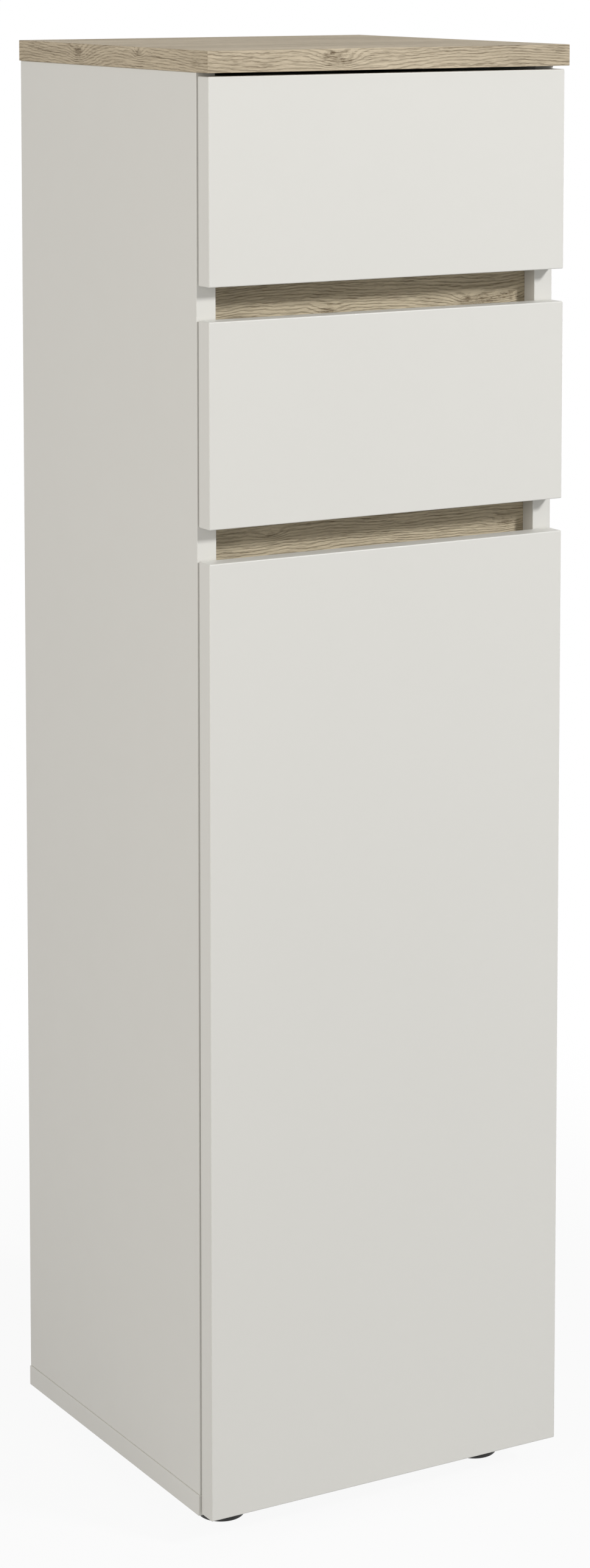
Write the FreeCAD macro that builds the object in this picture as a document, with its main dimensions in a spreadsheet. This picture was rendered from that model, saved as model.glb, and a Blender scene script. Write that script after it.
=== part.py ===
"""A tall narrow storage cabinet: two drawers over one door, finger gaps in place of handles, four round feet.

Lengths are in millimetres, with X to the right, Y to the back and Z up. The origin is on the floor under the
middle of the top panel. The sheet Sizes holds the driving sizes, the sheet Places what follows from them, and
every piece is bound to their cells.
"""

import FreeCAD
import Part
import Sketcher
import os
import re

Vector = FreeCAD.Vector

SIZES = {
    # The top panel and the boards of the carcass
    "top_width": 350.0,
    "top_depth": 346.0,
    "board": 18.0,
    "side_inset": 1.5,
    "base_inset": 0.5,
    "edge_bevel": 0.5,
    "front_bevel": 0.8,
    # The fronts and the gaps around them
    "front_board": 18.0,
    "front_inset": 2.6,
    "front_clearance": 1.0,
    "top_overhang": 3.5,
    "top_gap": 3.0,
    "finger_gap": 28.0,
    "door_rise": 2.0,
    "door_height": 810.0,
    "drawer_front_height": 170.0,
    # The grip rails behind the finger gaps
    "rail_board": 18.0,
    "rail_height": 60.0,
    "rail_recess": 15.0,
    # The back panel in its grooves
    "back_board": 3.0,
    "back_inset": 10.0,
    "back_play": 1.0,
    "groove_depth": 8.0,
    "groove_play": 0.2,
    # The shelves and the supports that they rest on
    "shelf_setback": 22.0,
    "shelf_play": 1.0,
    "lower_shelf_rise": 258.0,
    "upper_shelf_rise": 514.0,
    "support_reach": 8.0,
    "support_width": 7.0,
    "support_height": 5.0,
    "hole_setback": 37.0,
    # The feet
    "foot_radius": 20.0,
    "foot_height": 24.0,
    "foot_setback": 44.5,
    "foot_inset": 46.0,
    # The screws' heads, and the play around a cup in its bore
    "screw_head_radius": 4.0,
    "screw_head_height": 2.0,
    "fit_play": 0.1,
    # The wall bracket
    "bracket_leg": 38.0,
    "bracket_width": 30.0,
    "bracket_steel": 2.0,
    "wall_screw_radius": 2.75,
    "wall_hole_radius": 6.0,
    "wall_screw_drop": 24.0,
    # The drawer boxes
    "drawer_board": 12.0,
    "drawer_side_height": 120.0,
    "drawer_length": 300.0,
    "drawer_rise": 21.0,
    "drawer_floor_board": 3.0,
    "drawer_bottom_rise": 10.0,
    "drawer_groove": 6.0,
    "drawer_back_groove": 4.0,
    "drawer_back_setback": 6.0,
    # The roller runners
    "runner_gap": 12.5,
    "runner_steel": 1.2,
    "runner_length": 300.0,
    "runner_lip": 3.0,
    "runner_tray": 9.0,
    "runner_setback": 3.0,
    "runner_height": 32.0,
    "runner_drop": 3.0,
    "runner_play": 0.3,
    "roller_radius": 8.0,
    "roller_width": 7.0,
    "roller_seat": 0.8,
    "roller_setback": 12.0,
    "roller_headroom": 1.0,
    "axle_radius": 2.0,
    "axle_play": 0.08,
    # The hinges' cups, sunk into the door
    "hinge_inset": 100.0,
    "cup_radius": 17.5,
    "cup_wall": 1.0,
    "cup_depth": 12.0,
    "cup_edge": 4.5,
    "cup_screw_in": 9.5,
    "cup_screw_pitch": 45.0,
    "flange_steel": 1.0,
    "flange_in": 14.0,
    "flange_height": 56.0,
    # The hinges' pivots: in from the side or the door's edge, and ahead of or behind a face
    "arm_pin_in": 15.25,
    "arm_pin_back": 5.0,
    "cup_pin_in": 10.49,
    "cup_pin_deep": 2.0,
    "inner_arm_in": 16.0,
    "inner_arm_ahead": 8.6,
    "inner_cup_in": 15.54,
    "inner_cup_deep": 5.6,
    "bend_in": 2.6,
    "bend_ahead": 8.9,
    "slot_start_out": 0.06,
    "slot_start_ahead": 1.27,
    "slot_end_out": 2.9,
    "slot_end_back": 1.11,
    # The hinges' steel
    "hinge_steel": 1.5,
    "hinge_gap": 0.2,
    "link_reach": 3.0,
    "link_half": 1.6,
    "eye_radius": 2.6,
    "link_pin_radius": 1.25,
    "stub_radius": 1.0,
    "slot_radius": 2.84,
    "slot_wall": 1.1,
    "rivet_reach": 0.3,
    "cheek_margin": 2.6,
    # The hinges' arms and the plates that carry them
    "arm_rise": 22.0,
    "arm_depth": 14.0,
    "arm_start": 2.0,
    "web_start": 4.0,
    "arm_rear_setback": 56.0,
    "plate_steel": 3.0,
    "plate_depth": 18.0,
    "plate_height": 44.0,
    "rib_length": 24.0,
}

PLACES = {
    # Depth planes, from the front to the back
    "top_front": "-top_depth / 2",
    "top_back": "top_depth / 2",
    "front_face": "top_front + top_overhang",
    "front_back": "front_face + front_board",
    "carcass_front": "front_back + front_clearance",
    "rail_face": "carcass_front + rail_recess",
    "rail_rear": "rail_face + rail_board",
    "back_face": "top_back - back_inset - back_board",
    # Widths, as distances from the middle
    "side_outer": "top_width / 2 - side_inset",
    "side_inner": "side_outer - board",
    "front_half": "top_width / 2 - front_inset",
    "drawer_outer": "side_inner - runner_gap",
    "drawer_inner": "drawer_outer - drawer_board",
    # Levels, from the floor up
    "base_top": "foot_height + board",
    "door_bottom": "foot_height + door_rise",
    "door_top": "door_bottom + door_height",
    "lower_front_bottom": "door_top + finger_gap",
    "lower_front_top": "lower_front_bottom + drawer_front_height",
    "upper_front_bottom": "lower_front_top + finger_gap",
    "upper_front_top": "upper_front_bottom + drawer_front_height",
    "top_underside": "upper_front_top + top_gap",
    "top_face": "top_underside + board",
    "lower_rail_bottom": "door_top + finger_gap / 2 - rail_height / 2",
    "upper_rail_bottom": "lower_front_top + finger_gap / 2 - rail_height / 2",
    "fixed_shelf_bottom": "lower_rail_bottom + rail_height / 2 - board / 2",
    "lower_box_bottom": "lower_front_bottom + drawer_rise",
    "upper_box_bottom": "upper_front_bottom + drawer_rise",
    "lower_shelf_bottom": "base_top + lower_shelf_rise",
    "upper_shelf_bottom": "base_top + upper_shelf_rise",
    # The roller runners, seen from the front
    "running_height": "runner_steel + 2 * roller_radius + roller_headroom",
    "runner_front": "carcass_front + runner_setback",
    "drawer_rear": "front_back + drawer_length",
    # The hinges' middles and pivots, seen from above
    "lower_hinge": "door_bottom + hinge_inset",
    "upper_hinge": "door_top - hinge_inset",
    "cup_x": "front_half - cup_edge - cup_radius",
    "arm_pin_x": "side_inner - arm_pin_in",
    "arm_pin_y": "carcass_front + arm_pin_back",
    "cup_pin_x": "front_half - cup_pin_in",
    "cup_pin_y": "front_back - cup_pin_deep",
    "inner_arm_x": "side_inner - inner_arm_in",
    "inner_arm_y": "carcass_front - inner_arm_ahead",
    "inner_cup_x": "front_half - inner_cup_in",
    "inner_cup_y": "front_back - inner_cup_deep",
    "bend_x": "side_inner - bend_in",
    "bend_y": "carcass_front - bend_ahead",
    "slot_start_x": "inner_cup_x + slot_start_out",
    "slot_start_y": "inner_cup_y - slot_start_ahead",
    "slot_end_x": "inner_cup_x + slot_end_out",
    "slot_end_y": "inner_cup_y + slot_end_back",
    # The hinges' layers, counted both ways from each hinge's middle
    "wall_layer": "link_reach + hinge_gap",
    "wall_end": "wall_layer + hinge_steel",
    "link_layer": "wall_end + hinge_gap",
    "link_end": "link_layer + hinge_steel",
    "stub_end": "link_end + rivet_reach",
    # The hinges' arms and plates
    "arm_face": "side_inner - arm_rise",
    "arm_rear": "carcass_front + arm_rear_setback",
    "plate_y": "carcass_front + hole_setback",
    "plate_face": "side_inner - plate_steel",
}

# The ways a bore or a pin can point
TURNS = {
    "+x": FreeCAD.Rotation(Vector(0, 1, 0), 90),
    "-x": FreeCAD.Rotation(Vector(0, 1, 0), -90),
    "+y": FreeCAD.Rotation(Vector(1, 0, 0), -90),
    "-y": FreeCAD.Rotation(Vector(1, 0, 0), 90),
    "+z": FreeCAD.Rotation(),
    "-z": FreeCAD.Rotation(Vector(1, 0, 0), 180),
}
SIDES = {"left": -1, "right": 1}
LEVELS = ("lower", "upper")
HINGES = ("lower_hinge", "upper_hinge")
HINGED = "right"
# The hinges' pivots and the ends of the inner link's slot
ARM_PIN = ("arm_pin_x", "arm_pin_y")
CUP_PIN = ("cup_pin_x", "cup_pin_y")
INNER_ARM_PIN = ("inner_arm_x", "inner_arm_y")
INNER_CUP_PIN = ("inner_cup_x", "inner_cup_y")
BEND = ("bend_x", "bend_y")
SLOT_START = ("slot_start_x", "slot_start_y")
SLOT_END = ("slot_end_x", "slot_end_y")
# The depths at which the shelf supports stand
SUPPORT_ROWS = ("carcass_front + hole_setback", "back_face - hole_setback")
# How far a cutting shape starts outside the face it cuts
OVERRUN = 1.0

doc = FreeCAD.newDocument("storage_cabinet")
nodes = []


def named(formula):
    """The formula with each size's name led by the name of its sheet."""

    def lead(found):
        word = found.group(0)
        for sheet, cells in (("Sizes", SIZES), ("Places", PLACES)):
            if word in cells:
                return f"{sheet}.{word}"
        return word

    return re.sub(r"[a-z_]+", lead, formula)


def fill_sheet(name, cells):
    """Writes one row to each cell: its name, and its number or formula under that alias."""
    sheet = doc.addObject("Spreadsheet::Sheet", name)
    for row, (alias, value) in enumerate(cells.items(), start=1):
        sheet.set(f"A{row}", alias)
        sheet.set(f"B{row}", value if isinstance(value, str) else str(value))
        sheet.setAlias(f"B{row}", alias)
    doc.recompute()
    return sheet


def bind(thing, **formulas):
    """Binds each property of the thing to a formula in sizes."""
    for prop, formula in formulas.items():
        thing.setExpression(prop, named(formula))
    return thing


def put(thing, at, turn="+z"):
    """Places the thing at three formulas, turned so that its own Z points along turn."""
    thing.Placement = FreeCAD.Placement(Vector(), TURNS[turn])
    for axis, formula in zip("xyz", at):
        thing.setExpression("Placement.Base." + axis, named(formula))
    return thing


def ahead(at, turn, distance):
    """The place that lies a distance along turn from the place at."""
    sign, axis = turn
    return [f"{a} {sign} ({distance})" if axis == n else a for n, a in zip("xyz", at)]


def span(sign, near, far):
    """The low and high X of what runs from near to far of the middle, on one side."""
    return (near, far) if sign > 0 else (f"-({far})", f"-({near})")


def off_middle(sign, distance):
    """The X that lies a distance from the middle, on one side."""
    return distance if sign > 0 else f"-({distance})"


def outwards(sign):
    """The way from the middle to one side."""
    return "+x" if sign > 0 else "-x"


def keep(piece, node):
    """Labels a finished piece with its node's name and lists it."""
    piece.Label = node
    nodes.append(piece)
    return piece


def new_body(node):
    """A body for one solid piece."""
    return keep(doc.addObject("PartDesign::Body", node), node)


def add_block(body, low, high, cut=False):
    """A block of the body from its low to its high corner, added or cut away."""
    kind = "PartDesign::SubtractiveBox" if cut else "PartDesign::AdditiveBox"
    block = body.newObject(kind, body.Name + ("_cut" if cut else "_block"))
    for prop, start, end in zip(("Length", "Width", "Height"), low, high):
        block.setExpression(prop, named(f"({end}) - ({start})"))
    return put(block, low)


def add_round(body, radius, length, at, turn="+z"):
    """A cylinder of the body that starts at a place and runs along turn."""
    pin = body.newObject("PartDesign::AdditiveCylinder", body.Name + "_round")
    return put(bind(pin, Radius=radius, Height=length), at, turn)


def bore(body, radius, depth, at, turn):
    """A blind bore that enters the body at a place on its face and runs along turn."""
    hole = body.newObject("PartDesign::SubtractiveCylinder", body.Name + "_bore")
    bind(hole, Radius=radius, Height=f"({depth}) + {OVERRUN}")
    return put(hole, ahead(at, turn, f"-{OVERRUN}"), turn)


def add_bar(body, start, end, half, levels, cut=False):
    """A bar of the body that runs between two places in plan and between two levels, added or cut away."""
    low, high = levels
    across, along = f"({end[0]} - {start[0]})", f"({end[1]} - {start[1]})"
    turn = f"atan2({along} ; {across})"
    kind = "PartDesign::SubtractiveBox" if cut else "PartDesign::AdditiveBox"
    bar = body.newObject(kind, body.Name + "_bar")
    bind(bar, Length=f"hypot({across} ; {along})", Width=f"2 * ({half})", Height=f"{high} - ({low})")
    put(bar, (f"{start[0]} + ({half}) * sin({turn})", f"{start[1]} - ({half}) * cos({turn})", low))
    return bind(bar, **{"Placement.Rotation.Angle": turn})


def bevel(body, shape, size):
    """Bevels every edge of a shape."""
    doc.recompute()
    feature = body.newObject("PartDesign::Chamfer", body.Name + "_bevel")
    feature.Base = (shape, [""])
    feature.UseAllEdges = True
    return bind(feature, Size=size)


def board(node, low, high, size="edge_bevel"):
    """A board from its low to its high corner, with every edge bevelled."""
    body = new_body(node)
    bevel(body, add_block(body, low, high), size)
    return body


def group(node, shapes):
    """One node made of several separate solids."""
    together = doc.addObject("Part::Compound", node)
    together.Links = shapes
    return keep(together, node)


def add_screw_head(body, at, turn):
    """The head of a screw that holds a piece, standing up from its face at a place along turn."""
    add_round(body, "screw_head_radius", "screw_head_height", at, turn)


def outline(body, plane, points, offset):
    """A closed outline of the body, with every corner held to formulas, on an origin plane moved by offset."""
    sketch = body.newObject("Sketcher::SketchObject", body.Name + "_outline")
    sketch.AttachmentSupport = [next(o for o in body.Origin.OriginFeatures if o.Role == plane)]
    sketch.MapMode = "FlatFace"
    bind(sketch, **{"AttachmentOffset.Base.z": offset})
    formulas = [(named(across), named(up)) for across, up in points]
    corners = [Vector(*(float(sketch.evalExpression(f)) for f in pair)) for pair in formulas]
    for start, end in zip(corners, corners[1:] + corners[:1]):
        sketch.addGeometry(Part.LineSegment(start, end))
    for n, (corner, pair) in enumerate(zip(corners, formulas)):
        sketch.addConstraint(Sketcher.Constraint("Coincident", n - 1 if n else len(corners) - 1, 2, n, 1))
        for kind, value, formula in zip(("DistanceX", "DistanceY"), corner, pair):
            held = sketch.addConstraint(Sketcher.Constraint(kind, -1, 1, n, 1, value))
            sketch.setExpression(f"Constraints[{held}]", formula)
    return sketch


def pad(body, sketch, length):
    """The outline drawn out to a length, along its plane's normal."""
    feature = body.newObject("PartDesign::Pad", body.Name + "_pad")
    feature.Profile = sketch
    return bind(feature, Length=length)


def make_side(name, sign):
    """A side of the carcass, with the groove that takes the back panel."""
    low_x, high_x = span(sign, "side_inner", "side_outer")
    side = board(name + "_side", (low_x, "carcass_front", "base_top"), (high_x, "top_back", "top_underside"))
    low_x, high_x = span(sign, f"side_inner - {OVERRUN}", "side_inner + groove_depth")
    add_block(
        side,
        (low_x, "back_face - groove_play", f"base_top - {OVERRUN}"),
        (high_x, "back_face + back_board + groove_play", f"top_underside + {OVERRUN}"),
        cut=True,
    )


def make_top():
    """The oak top panel, with the groove that takes the back panel's upper edge."""
    top = board(
        "top_panel",
        ("-top_width / 2", "top_front", "top_underside"),
        ("top_width / 2", "top_back", "top_face"),
        size="front_bevel",
    )
    cut_groove(top, f"top_underside - {OVERRUN}", "top_underside + groove_depth")


def make_base():
    """The base panel, which the sides stand on, with the groove that takes the back panel's lower edge."""
    base = board(
        "base_panel",
        ("-(top_width / 2 - base_inset)", "carcass_front", "foot_height"),
        ("top_width / 2 - base_inset", "top_back", "base_top"),
    )
    cut_groove(base, "base_top - groove_depth", f"base_top + {OVERRUN}")


def cut_groove(panel, low_z, high_z):
    """The groove for the back panel between two levels of the top or the base panel."""
    half = "side_inner + groove_depth"
    add_block(
        panel,
        (f"-({half})", "back_face - groove_play", low_z),
        (half, "back_face + back_board + groove_play", high_z),
        cut=True,
    )


def foot_places():
    """The name and the middle of each foot."""
    for end, y in (("front", "carcass_front + foot_setback"), ("rear", "top_back - foot_setback")):
        for name, sign in SIDES.items():
            yield f"foot_{end}_{name}", (off_middle(sign, "top_width / 2 - base_inset - foot_inset"), y)


def make_back():
    """The thin back panel, held in grooves all round, with a hole that the wall screw passes."""
    half = "side_inner + groove_depth - back_play"
    back = new_body("back_panel")
    add_block(
        back,
        (f"-({half})", "back_face", "base_top - groove_depth + back_play"),
        (half, "back_face + back_board", "top_underside + groove_depth - back_play"),
    )
    at = ("0", "back_face + back_board", "top_underside - wall_screw_drop")
    bore(back, "wall_hole_radius", f"back_board + {OVERRUN}", at, "-y")


def make_wall_bracket():
    """The steel angle screwed up under the top panel, with the hole for the screw that ties it to the wall."""
    bracket = new_body("wall_bracket")
    half = "bracket_width / 2"
    add_block(
        bracket,
        (f"-{half}", "back_face - bracket_leg", "top_underside - bracket_steel"),
        (half, "back_face", "top_underside"),
    )
    add_block(
        bracket,
        (f"-{half}", "back_face - bracket_steel", "top_underside - bracket_leg"),
        (half, "back_face", "top_underside"),
    )
    wall = ("0", "back_face", "top_underside - wall_screw_drop")
    bore(bracket, "wall_screw_radius", f"bracket_steel + {OVERRUN}", wall, "-y")


def make_cross_boards():
    """The boards between the sides: two oak grip rails, the fixed shelf and two loose shelves."""
    for level in LEVELS:
        board(
            f"{level}_grip_rail",
            ("-side_inner", "rail_face", f"{level}_rail_bottom"),
            ("side_inner", "rail_rear", f"{level}_rail_bottom + rail_height"),
        )
        board(
            f"{level}_shelf",
            ("-(side_inner - shelf_play)", "carcass_front + shelf_setback", f"{level}_shelf_bottom"),
            ("side_inner - shelf_play", "back_face - shelf_play", f"{level}_shelf_bottom + board"),
        )
    board(
        "fixed_shelf",
        ("-side_inner", "rail_rear", "fixed_shelf_bottom"),
        ("side_inner", "back_face - groove_play", "fixed_shelf_bottom + board"),
    )


def make_shelf_supports():
    """The small tabs that stand out of the sides, four under each loose shelf."""
    supports = []
    for sign in SIDES.values():
        low_x, high_x = span(sign, "side_inner - support_reach", "side_inner")
        for level in LEVELS:
            for y in SUPPORT_ROWS:
                support = doc.addObject("PartDesign::Body", "shelf_support")
                top = f"{level}_shelf_bottom"
                add_block(
                    support,
                    (low_x, f"{y} - support_width / 2", f"{top} - support_height"),
                    (high_x, f"{y} + support_width / 2", top),
                )
                supports.append(support)
    group("shelf_supports", supports)


def make_feet():
    """Four round feet under the base panel."""
    for name, at in foot_places():
        foot = new_body(name)
        add_round(foot, "foot_radius", "foot_height", (*at, "0"))


def make_cabinet_runners(level):
    """The two runner members on the sides: a channel for the rear roller, and the front roller's axle."""
    members = []
    for sign in SIDES.values():
        member = doc.addObject("PartDesign::Body", f"{level}_cabinet_runner")
        flange = "runner_gap - runner_steel - runner_play"
        profile = [
            ("0", "0"),
            (flange, "0"),
            (flange, "runner_lip"),
            (f"{flange} - runner_steel", "runner_lip"),
            (f"{flange} - runner_steel", "runner_steel"),
            ("runner_steel", "runner_steel"),
            ("runner_steel", "runner_height"),
            ("0", "runner_height"),
        ]
        bottom = f"{level}_box_bottom - runner_drop"
        pad_runner(member, sign, profile, bottom, "runner_front")
        height = f"{bottom} + running_height - roller_radius - axle_play"
        at = (off_middle(sign, "side_inner - runner_steel / 2"), "runner_front + roller_setback", height)
        reach = "runner_steel / 2 + roller_seat + roller_width + runner_play"
        add_round(member, "axle_radius", reach, at, outwards(-sign))
        members.append(member)
    group(f"{level}_cabinet_runners", members)


def make_drawer_runners(level):
    """The two runner members under the drawer: each carries its side's edge, and the rear roller's axle."""
    members = []
    for sign in SIDES.values():
        member = doc.addObject("PartDesign::Body", f"{level}_drawer_runner")
        rail_top = "running_height - runner_drop + runner_steel"
        profile = [
            ("runner_gap - runner_steel", "-runner_steel"),
            ("runner_gap + runner_tray", "-runner_steel"),
            ("runner_gap + runner_tray", "0"),
            ("runner_gap", "0"),
            ("runner_gap", rail_top),
            ("runner_steel + roller_seat", rail_top),
            ("runner_steel + roller_seat", f"{rail_top} - runner_steel"),
            ("runner_gap - runner_steel", f"{rail_top} - runner_steel"),
        ]
        pad_runner(member, sign, profile, f"{level}_box_bottom", "front_back + runner_play")
        at = (off_middle(sign, "side_inner - runner_gap + runner_steel / 2"), *rear_roller_place(level))
        reach = "runner_steel / 2 + runner_steel + 2 * runner_play + roller_width + runner_play"
        add_round(member, "axle_radius", reach, at, outwards(sign))
        members.append(member)
    group(f"{level}_drawer_runners", members)


def pad_runner(member, sign, profile, bottom, front):
    """A runner's profile, given as ways in from the side and up from a level, drawn back from its front."""
    points = [(off_middle(sign, f"side_inner - ({across})"), f"{bottom} + {up}") for across, up in profile]
    sketch = outline(member, "XZ_Plane", points, f"-({front} + runner_length)")
    return pad(member, sketch, "runner_length")


def rear_roller_place(level):
    """The depth and the height of the rear roller's middle."""
    height = f"{level}_box_bottom - runner_drop + runner_steel + roller_radius + axle_play"
    return "front_back + runner_play + runner_length - roller_setback", height


def make_rollers(level):
    """The front rollers turn on the carcass's axles and the rear rollers on the drawer's."""
    bottom = f"{level}_box_bottom - runner_drop"
    front = ("runner_front + roller_setback", f"{bottom} + running_height - roller_radius - axle_play")
    rear = rear_roller_place(level)
    for end, place, start in (
        ("front", front, "runner_steel + roller_seat"),
        ("rear", rear, "runner_gap - 2 * runner_steel - 2 * runner_play - roller_width"),
    ):
        rollers = []
        for sign in SIDES.values():
            roller = doc.addObject("PartDesign::Body", f"{level}_{end}_roller")
            at = (off_middle(sign, f"side_inner - ({start})"), *place)
            add_round(roller, "roller_radius", "roller_width", at, outwards(-sign))
            bore(roller, "axle_radius + axle_play", f"roller_width + {OVERRUN}", at, outwards(-sign))
            rollers.append(roller)
        group(f"{level}_{end}_rollers", rollers)


def make_drawer(level):
    """A drawer: a front, two sides, a back and a thin bottom, which sit in each other's grooves."""
    box_bottom, front_bottom = f"{level}_box_bottom", f"{level}_front_bottom"
    floor = f"{box_bottom} + drawer_bottom_rise"
    floor_top = f"{floor} + drawer_floor_board"
    front = board(
        f"{level}_drawer_front",
        ("-front_half", "front_face", front_bottom),
        ("front_half", "front_back", f"{front_bottom} + drawer_front_height"),
        size="front_bevel",
    )
    half = "drawer_inner + drawer_groove"
    add_block(
        front,
        (f"-({half})", "front_back - drawer_groove", f"{floor} - groove_play"),
        (half, f"front_back + {OVERRUN}", f"{floor_top} + groove_play"),
        cut=True,
    )
    for name, sign in SIDES.items():
        low_x, high_x = span(sign, "drawer_inner", "drawer_outer")
        low, high = (low_x, "front_back", box_bottom), (high_x, "drawer_rear", f"{box_bottom} + drawer_side_height")
        side = board(f"{level}_drawer_{name}_side", low, high)
        near, far = span(sign, f"drawer_inner - {OVERRUN}", half)
        add_block(
            side,
            (near, f"front_back - {OVERRUN}", f"{floor} - groove_play"),
            (far, f"drawer_rear + {OVERRUN}", f"{floor_top} + groove_play"),
            cut=True,
        )
        near, far = span(sign, f"drawer_inner - {OVERRUN}", "drawer_inner + drawer_back_groove")
        rear = "drawer_rear - drawer_back_setback"
        add_block(
            side,
            (near, f"{rear} - drawer_board - groove_play", floor),
            (far, f"{rear} + groove_play", f"{box_bottom} + drawer_side_height + {OVERRUN}"),
            cut=True,
        )
    half_back = "drawer_inner + drawer_back_groove - groove_play"
    board(
        f"{level}_drawer_back",
        (f"-({half_back})", "drawer_rear - drawer_back_setback - drawer_board", f"{floor_top} + groove_play"),
        (half_back, "drawer_rear - drawer_back_setback", f"{box_bottom} + drawer_side_height"),
    )
    bottom = new_body(f"{level}_drawer_bottom")
    half_floor = "drawer_inner + drawer_groove - groove_play"
    add_block(
        bottom,
        (f"-({half_floor})", "front_back - drawer_groove + groove_play", floor),
        (half_floor, "drawer_rear - groove_play", floor_top),
    )


def make_door():
    """The door, with the bores that take its hinges' cups."""
    door = board(
        "door_panel",
        ("-front_half", "front_face", "door_bottom"),
        ("front_half", "front_back", "door_top"),
        size="front_bevel",
    )
    for middle in HINGES:
        bore(door, "cup_radius + fit_play", "cup_depth", ("cup_x", "front_back", middle), "-y")


def layer(middle, sign, near, far):
    """The low and high level of what lies from near to far of a hinge's middle, on one side."""
    return (f"{middle} + {near}", f"{middle} + {far}") if sign > 0 else (f"{middle} - {far}", f"{middle} - {near}")


def add_stubs(body, middle, pivot, radius):
    """The two short pins of an inner link's pivot, each riveted into a wall and its link's plate."""
    for sign in SIDES.values():
        turn = "+z" if sign > 0 else "-z"
        at = ahead((*pivot, middle), turn, "wall_layer + hinge_steel / 2")
        add_round(body, radius, "stub_end - wall_layer - hinge_steel / 2", at, turn)


def make_cup(middle):
    """A hinge cup: its bowl and flange, the two cheeks in it, and the pins that the links turn on."""
    cup = doc.addObject("PartDesign::Body", "hinge_cup")
    add_round(cup, "cup_radius", "cup_depth", ("cup_x", "front_back - cup_depth", middle), "+y")
    add_block(
        cup,
        ("cup_x - flange_in", "front_back", f"{middle} - flange_height / 2"),
        ("cup_x", "front_back + flange_steel", f"{middle} + flange_height / 2"),
    )
    depth = "cup_depth - cup_wall + flange_steel"
    bore(cup, "cup_radius - cup_wall", depth, ("cup_x", "front_back + flange_steel", middle), "-y")
    for sign in SIDES.values():
        low, high = layer(middle, sign, "wall_layer", "wall_end")
        add_block(
            cup,
            ("inner_cup_x - cheek_margin", "front_back - cup_depth + cup_wall / 2", low),
            ("cup_pin_x + cheek_margin", "front_back", high),
        )
    add_round(cup, "link_pin_radius", "2 * wall_end", (*CUP_PIN, f"{middle} - wall_end"))
    add_stubs(cup, middle, INNER_CUP_PIN, "stub_radius")
    for step in "-+":
        level = f"{middle} {step} cup_screw_pitch / 2"
        add_screw_head(cup, ("cup_x - cup_screw_in", "front_back + flange_steel", level), "+y")
    return cup


def make_arm(middle):
    """A hinge arm: a channel open at its front, where its two walls carry both links' pins."""
    arm = doc.addObject("PartDesign::Body", "hinge_arm")
    add_block(
        arm,
        ("arm_face", "arm_pin_y + web_start", f"{middle} - wall_end"),
        ("arm_face + hinge_steel", "arm_rear", f"{middle} + wall_end"),
    )
    for sign in SIDES.values():
        levels = layer(middle, sign, "wall_layer", "wall_end")
        add_block(
            arm,
            ("arm_face", "arm_pin_y - arm_start", levels[0]),
            ("arm_face + arm_depth", "arm_rear", levels[1]),
        )
        add_bar(arm, INNER_ARM_PIN, ARM_PIN, "eye_radius", levels)
        add_round(arm, "eye_radius", "hinge_steel", (*INNER_ARM_PIN, levels[0]))
    add_round(arm, "link_pin_radius", "2 * wall_end", (*ARM_PIN, f"{middle} - wall_end"))
    add_stubs(arm, middle, INNER_ARM_PIN, "link_pin_radius")
    return arm


def make_plate(middle):
    """A hinge plate: screwed to the side, with a rib that the arm straddles and is screwed to."""
    plate = doc.addObject("PartDesign::Body", "hinge_plate")
    add_block(
        plate,
        ("plate_face", "plate_y - plate_depth / 2", f"{middle} - plate_height / 2"),
        ("side_inner", "plate_y + plate_depth / 2", f"{middle} + plate_height / 2"),
    )
    add_block(
        plate,
        ("arm_face + hinge_steel", "plate_y - rib_length / 2", f"{middle} - link_reach"),
        ("plate_face", "plate_y + rib_length / 2", f"{middle} + link_reach"),
    )
    return plate


def make_outer_link(middle):
    """The outer link: a bent bar with an eye at each end, between the walls and the cheeks."""
    link = doc.addObject("PartDesign::Body", "outer_link")
    levels = (f"{middle} - link_reach", f"{middle} + link_reach")
    for start, end in ((ARM_PIN, BEND), (BEND, CUP_PIN)):
        add_bar(link, start, end, "link_half", levels)
    add_round(link, "link_half", "2 * link_reach", (*BEND, levels[0]))
    for pivot in (ARM_PIN, CUP_PIN):
        add_round(link, "eye_radius", "2 * link_reach", (*pivot, levels[0]))
    for pivot in (ARM_PIN, CUP_PIN):
        bore(link, "link_pin_radius + axle_play", f"2 * link_reach + {OVERRUN}", (*pivot, levels[0]), "+z")
    return link


def make_inner_link(middle, sign):
    """One plate of the inner link: an eye on the arm's stub, and a slot in which the cup's stub runs."""
    link = doc.addObject("PartDesign::Body", "inner_link")
    levels = layer(middle, sign, "link_layer", "link_end")
    rim = "slot_radius + slot_wall"
    add_bar(link, INNER_ARM_PIN, SLOT_START, "link_half", levels)
    add_bar(link, SLOT_START, SLOT_END, rim, levels)
    for pivot, radius in ((INNER_ARM_PIN, "eye_radius"), (SLOT_START, rim), (SLOT_END, rim)):
        add_round(link, radius, "hinge_steel", (*pivot, levels[0]))
    past = (f"{levels[0]} - {OVERRUN}", f"{levels[1]} + {OVERRUN}")
    add_bar(link, SLOT_START, SLOT_END, "slot_radius", past, cut=True)
    for pivot, radius in (
        (INNER_ARM_PIN, "link_pin_radius + axle_play"),
        (SLOT_START, "slot_radius"),
        (SLOT_END, "slot_radius"),
    ):
        bore(link, radius, f"hinge_steel + {OVERRUN}", (*pivot, levels[0]), "+z")
    return link


def make_hinges():
    """The door's two concealed hinges, each kind of piece in one node."""
    group("hinge_cups", [make_cup(middle) for middle in HINGES])
    group("hinge_arms", [make_arm(middle) for middle in HINGES])
    group("hinge_plates", [make_plate(middle) for middle in HINGES])
    group("outer_links", [make_outer_link(middle) for middle in HINGES])
    group("inner_links", [make_inner_link(middle, sign) for middle in HINGES for sign in SIDES.values()])


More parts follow.
